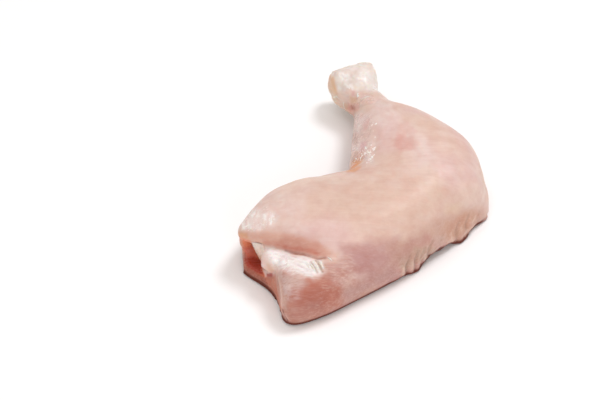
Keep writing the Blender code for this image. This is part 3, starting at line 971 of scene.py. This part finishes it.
# Blotches in the knuckle's tissue: size in millimetres, seed, colour and strength.
KNUCKLE_BLOTCHES = (
    (4.0, 41, (224, 216, 210), 0.6), (3.2, 42, (238, 224, 206), 0.5), (3.6, 43, (238, 220, 214), 0.4),
    (2.4, 44, WHITE, 0.8),
)
# The fine wrinkles over the side of the drumstick, light and dark in turn: one wrinkle's points, across the
# photograph and down from its row, the rows, and the two colours.
WRINKLE = ((353, 2), (362, -4.5), (374, -12))
WRINKLE_ROWS = [122 + 3.6 * k + 1.2 * math.sin(2.4 * k) for k in range(13)]
WRINKLE_COLOURS = ((240, 222, 218), (208, 172, 164))


# ---------------------------------------------------------------- the leg's relief

def spread_foot(skin):
    """Spreads the lower part of the near side, which sags on the table, and squares its lower edge."""
    outward = skin.blur(skin.normals() * [1, 1, 0], 8)
    outward /= np.maximum(np.linalg.norm(outward, axis=1), 0.15)[:, None]
    across, far = np.array(FOOT_SPREAD).T
    z = skin.points[:, 2]
    reach = np.interp(skin.pixels[:, 0], across, far) * ramp(z, *FOOT_FADE) + FOOT_EDGE * ramp(z, 2.6, 0.2)
    skin.points += outward * (reach * ramp(-outward[:, 1], 0.1, 0.5))[:, None]


def shape_everywhere(skin):
    """The slight unevenness of meat that lies in its own weight."""
    z = skin.base[:, 2]
    skin.lift += ramp(z, 0.5, 5) * (0.25 * lumps(skin.base, 13.0, 31) + 0.09 * lumps(skin.base, 4.5, 32))
    skin.lift += skin.patch(ROUGH_TIP, 4.0) * 0.3 * lumps(skin.base, 2.6, 33)
    for line, width, depth in HIDDEN_GROOVES:
        skin.press(skin.path_near(line), width, depth)
    skin.settle()


def shape_knuckle(skin):
    """Torn, lumpy tissue over the bare joint, with gristle on its end."""
    bare = ramp(skin.base[:, 1], *BARE_FROM)
    skin.lift += bare * (0.5 * lumps(skin.base, 5.0, 21) + 0.36 * lumps(skin.base, 2.4, 22) - 0.35)
    end = cartilage(skin)
    skin.smooth(14, share=ramp(skin.facing[:, 1], 0.1, 0.5) * bare, give_back=0.0)
    skin.lift += 0.8 * rim_of(end) * bare - 0.3 * end
    skin.carve(KNUCKLE_RELIEF)
    skin.settle()


def cartilage(skin):
    """The smooth gristle on the end of the knuckle, which the photograph doesn't show on this leg."""
    ragged = 0.25 * lumps(skin.base, 3.0, 25)
    return ramp(skin.facing[:, 1] + ragged, 0.4, 0.9) * ramp(skin.base[:, 1] + 4 * ragged, *END_FROM)


def rim_of(mask):
    """1 where a mask is half way between 0 and 1."""
    return np.exp(-(((mask - 0.5) / 0.3) ** 2))


def shape_drumstick(skin):
    """The flat muscles of the drumstick, the tendon over the knee, and the fat in the crook."""
    for x, y in CREASE_STARTS:
        skin.press(skin.path_of([(x + across, y + down) for across, down in CREASE]), 1.0, 0.1)
    skin.carve(DRUMSTICK_RELIEF)
    place, height, width = FAT_LUMP
    skin.lift += height * skin.dab(place, width, 1.5, 61)
    skin.settle()


def shape_side(skin):
    """The near side of the thigh: fine lines in the meat, and folds where it meets the table."""
    for row in MEAT_LINE_ROWS:
        skin.press(skin.path_of([(x, row + down) for x, down in MEAT_LINE]), 1.0, 0.15)
    for line, height in zip(HEM_CRESTS, HEM_DEPTHS):
        skin.press(skin.path_to_foot(line), 2.4, -0.5 * height)
    for line, depth in zip(HEM_GROOVES, HEM_DEPTHS):
        skin.press(skin.path_to_foot(line), 2.0, depth)
    skin.carve([(line, 1.5, -0.3) for line in HEM_TIPS], FINE_STEP)
    skin.settle()


def shape_cut(skin):
    """The lip that overhangs the open cut, and the tissue under it."""
    skin.carve(LIP_RELIEF)
    for place, height, width in GRISTLE_LUMPS:
        skin.lift += height * skin.dab(place, width)
    skin.settle()
    skin.carve([(line, 1.1, 0.2) for line in FASCIA_LINES], FINE_STEP)
    skin.carve([(line, 1.1, 0.3) for line in FIBRE_GAPS], FINE_STEP)
    skin.carve(TISSUE_RELIEF)
    skin.settle()


# ---------------------------------------------------------------- the leg's paint

def paint_everywhere(skin):
    """Colours by place alone, so that the hidden sides are finished too."""
    x, y, z = skin.base.T
    up = skin.facing[:, 2]
    skin.tint[:] = surface(*MEAT)
    skin.wet[:] = 0.15
    skin.fibre[:] = 0.3
    skin.paint(ramp(lumps(skin.base, 15.0, 1), -0.1, 0.6), MEAT_PINK, 0.8)
    skin.paint(ramp(lumps(skin.base, 9.0, 2), 0.1, 0.8), MEAT_PALE, 0.7)
    skin.paint(ramp(lumps(skin.base, (12, 5, 5), 4), 0.3, 0.9), FASCIA, 0.4)
    # the lower sides, which turn away from the top, painted browner and darker: partly their own colour,
    # partly painted shade
    low = ramp(z, 22, 8) * ramp(up, 0.6, 0.1) * ramp(x, 96, 84)
    skin.paint(low, BROWN_PINK, 0.8)
    skin.paint(low * ramp(lumps(skin.base, 16.0, 3), -0.3, 0.4), MAUVE, 0.8)
    skin.finish_with(low, fibre=0.6)
    paint_hidden_sides(skin)
    skin.finish_with(ramp(y, 44, 62), fibre=0.0)
    paint_knuckle(skin)


def paint_hidden_sides(skin):
    """Pale seams and faint veins where the photograph doesn't look."""
    for k, (line, width, _) in enumerate(HIDDEN_GROOVES):
        seam = skin.along(skin.path_near(line), 0.8 * width, 1.4, 70 + k) * (1 - skin.seen)
        seam *= ramp(lumps(skin.base, 7.0, 76), -0.3, 0.5)
        skin.paint(seam, SEAM, 0.6)
        skin.finish_with(seam, film=0.15, fibre=0.1, wet=0.6)
    for k, line in enumerate(HIDDEN_VEINS):
        skin.paint(skin.along(skin.path_near(line), 1.3, 0.5, 80 + k) * (1 - skin.seen), VEIN, 0.4)


def paint_knuckle(skin):
    """Cream tissue with blotches, bluish gristle on the end, and a ragged yellowish rim round that."""
    bare = ramp(skin.base[:, 1] + 3 * lumps(skin.base, 4.0, 26), *BARE_TISSUE_FROM)
    skin.paint(bare, CREAM, 0.95)
    for size, seed, colour, strength in KNUCKLE_BLOTCHES:
        skin.paint(bare * ramp(lumps(skin.base, size, seed), 0.1, 0.6), colour, strength)
    end = cartilage(skin)
    skin.paint(end, CARTILAGE, 0.9)
    skin.paint(end * ramp(lumps(skin.base, 6.0, 29), -0.5, 0.9), CARTILAGE_BLUE, 0.7)
    skin.paint(rim_of(end) * bare, KNUCKLE_RIM, 0.7)
    stains = ramp(end, 0.2, 0.0) * bare * ramp(skin.facing[:, 1], 0.1, 0.5)
    stains *= ramp(lumps(skin.base, 3.0, 27), 0.2, 0.6)
    skin.paint(stains * (1 - skin.seen), SALMON, 0.5)
    skin.finish_with(end, wet=0.9)
    skin.finish_with(bare, wet=0.5)


def paint_seen(skin):
    """Colours and wetness where the photograph shows them, with painted highlights and shade."""
    skin.paint_patches(COLOUR_PATCHES, 100)
    skin.paint(skin.along(skin.path_of(TENDON_BAND[:4]), 9.0, 3.0, 7), FASCIA, 0.55)
    skin.paint(skin.along(skin.path_of(TENDON_BAND[3:]), 9.0, 3.0, 8), BAND_END, 0.6)
    paint_fat(skin)
    skin.paint(skin.patch(TIP_ROUND, 8.0, 3.0, 5), TIP_PINK, 0.7)
    # the tip painted paler: partly its own colour, partly painted sheen of its wet surface
    skin.paint(skin.patch(TIP, 4.0, 1.5, 6), TIP_PALE_SHEEN, 0.85)
    for corners, feather, wobble, seed, finish in FINISH_PATCHES:
        skin.finish_with(skin.patch(corners, feather, wobble, seed), **finish)
    paint_hem(skin)
    paint_sheen(skin)
    paint_wrinkles(skin)
    for x, y, radius in GLINTS:
        # painted highlights where the wet skin flashes
        skin.finish_with(ramp(skin.dab((x, y), 1.3 * radius, 0.3, 63), 0.0, 0.7), glint=1.0)


def paint_fat(skin):
    """The orange fat in the crook of the leg, and how it runs on behind."""
    for corners, feather, colour, strength in FAT_PATCHES:
        skin.paint(skin.patch(corners, feather, 1.6, 62) * skin.near_to(CROOK, 8.5, 4), colour, strength)
    skin.paint(skin.patch(FAT_EDGE, 1.4, 0.8, 65) * skin.near_to(CROOK_EDGE, 6, 1.0), FAT_EDGE_ORANGE, 0.9)
    skin.paint(skin.dab(FAT_MIDDLE, 4.6, 1.0, 67), FAT_MIDDLE_ORANGE, 1.1)
    hidden_fat = skin.along(skin.path_near(FAT_PATH), 6.5, 1.5, 66) * (1 - skin.seen)
    skin.paint(ramp(hidden_fat, 0.05, 0.8), FAT_BEHIND, 0.75)
    far_fat = skin.along(skin.path_near(FAT_PATH[2:]), 5.2, 2.2, 68)
    skin.paint(ramp(far_fat, 0.0, 0.9), FAT_FADING, 0.8)


def paint_hem(skin):
    """Painted shade in the hem's grooves, painted light on its crests, and highlights painted on its thin
    edges.
    """
    for k, (groove, crest, depth) in enumerate(zip(HEM_GROOVES, HEM_CRESTS, HEM_DEPTHS)):
        skin.paint(skin.along(skin.path_to_foot(groove), 1.8, 0.6, 170 + k), HEM_SHADE, 0.6 * depth)
        skin.paint(skin.along(skin.path_to_foot(crest[1:]), 1.5, 0.7, 180 + k), HEM_LIGHT, 0.65 * depth)
    for k, line in enumerate(HEM_TIPS):
        edge = skin.along(skin.path_of(line, FINE_STEP), 1.2, 0.4, 210 + k)
        # pale highlights painted along the thin lower edges of the folds
        skin.paint(edge * ramp(lumps(skin.base, 3.0, 218), -0.6, 0.2), HEM_TIP_HIGHLIGHT, 0.45)
        skin.finish_with(edge, wet=0.8)


def paint_sheen(skin):
    """Painted sheen on wet patches: streaky highlights on the tip of the thigh, speckled ones on the knuckle.
    """
    streaks = ramp(lumps(skin.base, (1.0, 5.0, 5.0), 64), -0.35, 0.35)
    for k, corners in enumerate(TIP_SHEEN):
        sheen = skin.patch(corners, 1.6, 1.0, 90 + k)
        # pale streaks painted as the sheen of the wet tip
        skin.paint(sheen * streaks, SHEEN, 0.9)
        skin.finish_with(sheen, glint=0.5)
    specks = ramp(lumps(skin.base, 1.3, 65), -0.4, 0.3)
    for k, corners in enumerate(KNUCKLE_SHEEN):
        sheen = skin.patch(corners, 1.6, 1.0, 220 + k)
        # white specks painted as highlights on the knuckle's wet tissue
        skin.paint(sheen * specks, WHITE, 0.9)
        skin.finish_with(sheen, glint=0.4, wet=0.8)


def paint_wrinkles(skin):
    """Fine broken lines over the side of the drumstick."""
    for k, row in enumerate(WRINKLE_ROWS):
        line = skin.path_of([(x, row + down) for x, down in WRINKLE])
        broken = ramp(lumps(skin.base, 4.0, 140 + k), -0.3, 0.4) * skin.seen
        skin.paint(skin.along(line, 0.8, 0.5, 150 + k) * broken, WRINKLE_COLOURS[k % 2], 0.5)


def paint_cut(skin):
    """The open cut of the hip: its lip, its hollow, the white tissue and the flap."""
    skin.paint_patches(CUT_PATCHES, 200)
    skin.finish_with(skin.patch(HOLLOW, 1.5), fibre=0.2, wet=0.8)
    skin.paint(skin.along(skin.path_of(LIP_LINE[:3]), 2.4, 0.8, 11), LIP_RED, 0.45)
    skin.paint(skin.along(skin.path_of(LIP_LINE[2:]), 2.6, 0.8, 11), LIP_RED, 0.75)
    skin.paint(skin.along(skin.path_of(UNDER_LIP[3:]), 1.8, 0.4, 13), LIP_PALE, 0.8)
    skin.paint(skin.along(skin.path_of(UNDER_LIP[2:]), 1.2, 0.4, 12), LIP_SHADE, 0.75)
    for k, line in enumerate(FASCIA_LINES):
        broken = ramp(lumps(skin.base, 2.5, 130 + k), -0.4, 0.4)
        skin.paint(skin.along(skin.path_of(line, FINE_STEP), 0.8, 0.4, 190 + k) * broken, FASCIA_PINK, 0.65)
    ceiling = skin.near_to(HOLLOW_MIDDLE, 16, 13)
    ceiling *= ramp(skin.facing[:, 2], 0.0, -0.4) * ramp(skin.base[:, 2], 6, 9)
    skin.paint(ceiling * (1 - skin.seen), CEILING, 0.9)
    skin.finish_with(skin.patch(WHITE_TISSUE, 4.0, 3.0, 8), film=0.7, wet=0.9, fibre=0.3)
    # painted flashes of highlight on the upper part of the white tissue
    skin.finish_with(0.5 * skin.patch(WHITE_FLASHES, 4.0, 2.0, 14), glint=1.0)
    for line, strength in zip(FIBRE_GAPS, FIBRE_GAP_STRENGTHS):
        gap = skin.along(skin.path_of(line, FINE_STEP), 0.9, 0.3, 15) * strength
        skin.paint(gap, GAP_BROWN, 1.2)
        skin.finish_with(gap, film=0.0, glint=0.0)
    skin.finish_with(skin.patch(FLAP_FILM, 4.0, 2.0, 9), film=0.25, wet=0.6)
    skin.paint(skin.along(skin.path_of(RIM), 1.4), RIM_PINK, 0.7)
    skin.paint(skin.along(skin.path_of(RIM_FOOT), 1.3), RIM_SHADE, 0.9)


def paint_foot(skin):
    """The dark edge where the meat meets the table, widest on the near side: wet juice and painted shade."""
    across = skin.pixels[:, 0]
    near_side = ramp(-skin.facing[:, 1], -0.2, 0.3) * ramp(skin.base[:, 1], 40, 20)
    near_side *= 1 - 0.8 * ramp(across, *FOOT_END)
    z = skin.points[:, 2] + 0.35 * lumps(skin.base, 6.0, 28)
    # the undersides of the lifted hem, painted dark as shade
    under = ramp(-skin.normals()[:, 2], 0.1, 0.4) * ramp(z, 6, 4)
    under *= ramp(across, *LIFTED_FROM) * ramp(across, *LIFTED_TO)
    # a reddish band low on the near side, fading into the dark edge: juice and painted shade
    skin.paint(near_side * ramp(z, 3.8, 1.8), FOOT_RED_AND_SHADE, 0.6)
    # the dark line along the table: wet juice and painted contact shade
    edge = near_side * np.maximum(ramp(z, 2.5, 1.7), under)
    edge = np.maximum(edge, 0.8 * ramp(z, 1.2, 0.5) * ramp(skin.base[:, 1], 70, 60))
    skin.paint(edge, FOOT_JUICE_AND_SHADE, 1.0)
    skin.finish_with(edge, wet=0.0, fibre=0.0, film=0.0, glint=0.0)


# ---------------------------------------------------------------- pieces that lie on the skin

def quad_mesh(name, rows, material, closed=False):
    """A mesh from a grid of points in the drawing frame."""
    rows = np.array(rows)
    count, across = rows.shape[:2]
    faces = []
    for r in range(count - 1):
        for c in range(across if closed else across - 1):
            d = (c + 1) % across
            faces.append((r * across + c, r * across + d, (r + 1) * across + d, (r + 1) * across + c))
    if closed:
        faces += [tuple(range(across))[::-1], tuple((count - 1) * across + c for c in range(across))]
    mesh = bpy.data.meshes.new(name)
    mesh.from_pydata(((rows.reshape(-1, 3) + DRAWING_TO_ROW) * MM).tolist(), [], faces)
    mesh.materials.append(material)
    mesh.polygons.foreach_set("use_smooth", [True] * len(mesh.polygons))
    thing = bpy.data.objects.new(name, mesh)
    bpy.context.scene.collection.objects.link(thing)
    return thing


def tube(path, radius, sides=8):
    """Rings of points round a path, thinner at both ends."""
    path = np.array(path)
    ahead = np.gradient(path, axis=0)
    ahead /= np.linalg.norm(ahead, axis=1)[:, None]
    beside = np.cross(ahead, [0, 0, 1])
    beside /= np.maximum(np.linalg.norm(beside, axis=1), 1e-6)[:, None]
    over = np.cross(beside, ahead)
    turn = np.linspace(0, 2 * np.pi, sides, endpoint=False)
    share = np.linspace(0, 1, len(path))
    girth = radius * np.sqrt(np.clip(4 * share * (1 - share), 0.04, 1))
    ring = np.cos(turn)[None, :, None] * beside[:, None] + np.sin(turn)[None, :, None] * over[:, None]
    return path[:, None] + girth[:, None, None] * ring


def even_path(path, step=0.6):
    """The path with points every step millimetres, rounded off."""
    path = np.array(path)
    lengths = np.concatenate(([0], np.cumsum(np.linalg.norm(np.diff(path, axis=0), axis=1))))
    count = max(5, round(lengths[-1] / step))
    at = np.linspace(0, lengths[-1], count)
    out = np.column_stack([np.interp(at, lengths, path[:, k]) for k in range(3)])
    for _ in range(3):
        out[1:-1] = 0.5 * out[1:-1] + 0.25 * (out[:-2] + out[2:])
    return out


# Threads of tendon: a line in the photograph, radius in millimetres, and how many radii deep its middle lies.
TENDON_LINES = (
    ([(309.6, 262), (312.5, 266.5), (316, 272.5)], 0.45, 0.4),
    ([(313.4, 260), (317.0, 265.5), (320, 271.5)], 0.55, 0.4),
    ([(305.5, 262), (309, 267.5), (312, 273)], 0.35, 0.5),
    ([(317.6, 259), (321, 264), (324, 269.5)], 0.5, 0.4),
    ([(326.5, 256.6), (330, 258.4), (333, 261.6)], 0.3, 0.5),
    ([(333.5, 98.5), (335.4, 96), (338, 96.2), (339.8, 98.6)], 0.5, 0.3),
    ([(344.2, 101.5), (345.4, 105), (346.4, 109.4)], 0.55, 0.3),
    ([(357.6, 92.8), (359, 95.6), (358.4, 98.6)], 0.5, 0.3),
    ([(361.5, 100.8), (366, 98.4), (371.2, 97.6)], 0.45, 0.4),
)


def strands(name, skin, lines, material):
    """Thin threads that lie on the skin along lines in the photograph, joined in one piece."""
    tree = BVHTree.FromPolygons(skin.points.tolist(), skin.triangles.tolist())
    made = []
    for k, (line, radius, sink) in enumerate(lines):
        path = even_path(skin.path_of(line, FINE_STEP))
        for i, place in enumerate(path):
            spot, normal, _, _ = tree.find_nearest(Vector(place))
            path[i] = np.array(spot) - sink * radius * np.array(normal)
        made.append(quad_mesh(f"{name}_{k}", tube(path, radius), material, closed=True))
    with bpy.context.temp_override(active_object=made[0], object=made[0], selected_objects=made,
                                   selected_editable_objects=made):
        bpy.ops.object.join()
    made[0].name = name
    return made[0]


# The membrane over the corner of the cut: its free edge and its held edge, in pixels.
MEMBRANE_FREE = [(251.6, 242), (253.4, 246.5), (256, 252), (259, 257.5), (261.6, 262), (262.6, 267)]
MEMBRANE_HELD = [(264, 244.4), (265.2, 248), (266, 252.5), (266.4, 257.5), (266, 263), (265.6, 268)]
# In millimetres, how far it bulges, how far its free and its held edge are tucked in, and how thick it is.
MEMBRANE_BULGE = 1.1
FREE_TUCK = 0.9
HELD_TUCK = 1.0
MEMBRANE_THICKNESS = 0.35
MEMBRANE_COLUMNS = 13


def membrane_rows(skin):
    """A grid of points from the free edge to the held one, row by row down the membrane."""
    held = even_path([skin.spot(pixel) for pixel in MEMBRANE_HELD], 0.5)
    top, bottom = np.array(skin.spot(MEMBRANE_FREE[0])), np.array(skin.spot(MEMBRANE_FREE[-1]))
    eye = camera_axes()[0]
    share = np.linspace(0, 1, MEMBRANE_COLUMNS)[:, None]
    lift = MEMBRANE_BULGE * np.sin(math.pi * share)
    lift = lift - FREE_TUCK * ramp(share, 0.12, 0.0) - HELD_TUCK * ramp(share, 0.8, 1.0)
    rows = []
    for down, end in zip(np.linspace(0, 1, len(held)), held):
        at = down * (len(MEMBRANE_FREE) - 1)
        pixel = [np.interp(at, range(len(MEMBRANE_FREE)), [p[k] for p in MEMBRANE_FREE]) for k in range(2)]
        ray = ray_through(pixel)
        start = eye + ray * ((top + down * (bottom - top) - eye) @ ray)
        row = start + share * (end - start)
        towards = (eye - row) / np.linalg.norm(eye - row, axis=1)[:, None]
        rows.append(row + towards * lift)
    return np.array(rows)


def membrane(skin, material):
    """The thin skin that spans the corner of the cut, from under the lip down to the end of the bone."""
    rows = membrane_rows(skin)
    thing = quad_mesh("membrane", rows, material)
    thick = thing.modifiers.new("thick", "SOLIDIFY")
    thick.thickness = MEMBRANE_THICKNESS * MM
    thick.offset = 0
    flat = rows.reshape(-1, 3)
    down = np.repeat(np.linspace(0, 1, rows.shape[0]), rows.shape[1])[:, None]
    tint = surface(*MEMBRANE_TOP) + down * (surface(*MEMBRANE_FOOT) - surface(*MEMBRANE_TOP))
    tint *= 1 + 0.12 * lumps(flat, (0.9, 0.9, 4.0), 64)[:, None]
    finish = {"wet": 0.8, "fibre": 0.6, "film": 0.1, "glint": 0.0}
    dress(thing.data, tint, flat[:, [2, 0, 1]], **{name: np.full(len(flat), v) for name, v in finish.items()})
    return thing


# ---------------------------------------------------------------- the whole leg

# The direction of the shin on the table, and the line at the knee over which the fibres turn to it: the place
# on X where it crosses Y = 0, how much it slants, and how far before and behind it they turn, in millimetres.
SHIN_ANGLE = math.radians(-68)
KNEE_X = 60
KNEE_SLANT = 0.25
KNEE_TURN = (-14, 26)


def grain_of(points):
    """Where each point is along, across and through the meat's fibres, in millimetres."""
    x, y, z = points.T
    shin = ramp(y - KNEE_SLANT * (x - KNEE_X), *KNEE_TURN)
    along_shin = x * math.cos(SHIN_ANGLE) + y * math.sin(SHIN_ANGLE)
    across_shin = -x * math.sin(SHIN_ANGLE) + y * math.cos(SHIN_ANGLE)
    return np.column_stack((x + shin * (along_shin - x), y + shin * (across_shin - y), z))


def model_leg(node):
    """The leg's piece, shaped and painted over the CAD node, and its skin."""
    leg = remeshed_copy(node, "leg_meat")
    coarse = Skin(leg.data)
    coarse.smooth(8)
    coarse.write_points()
    refine(leg.data)
    skin = Skin(leg.data)
    skin.smooth(3)
    skin.survey()
    for shape in (spread_foot, shape_everywhere, shape_knuckle, shape_drumstick, shape_side, shape_cut):
        shape(skin)
    skin.smooth(1)
    for paint in (paint_everywhere, paint_seen, paint_cut, paint_foot):
        paint(skin)
    skin.write(grain_of(skin.base))
    return leg, skin


meat = meat_material()
leg, skin = model_leg(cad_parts["chicken_leg"])
leg.data.materials.append(meat)
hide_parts("chicken_leg")
threads = strands("tendon_threads", skin, TENDON_LINES, tendon_material())
skin_fold = membrane(skin, meat)
for piece in (leg, threads, skin_fold):
    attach(piece, "root")

make_floor()
make_light()
make_camera()
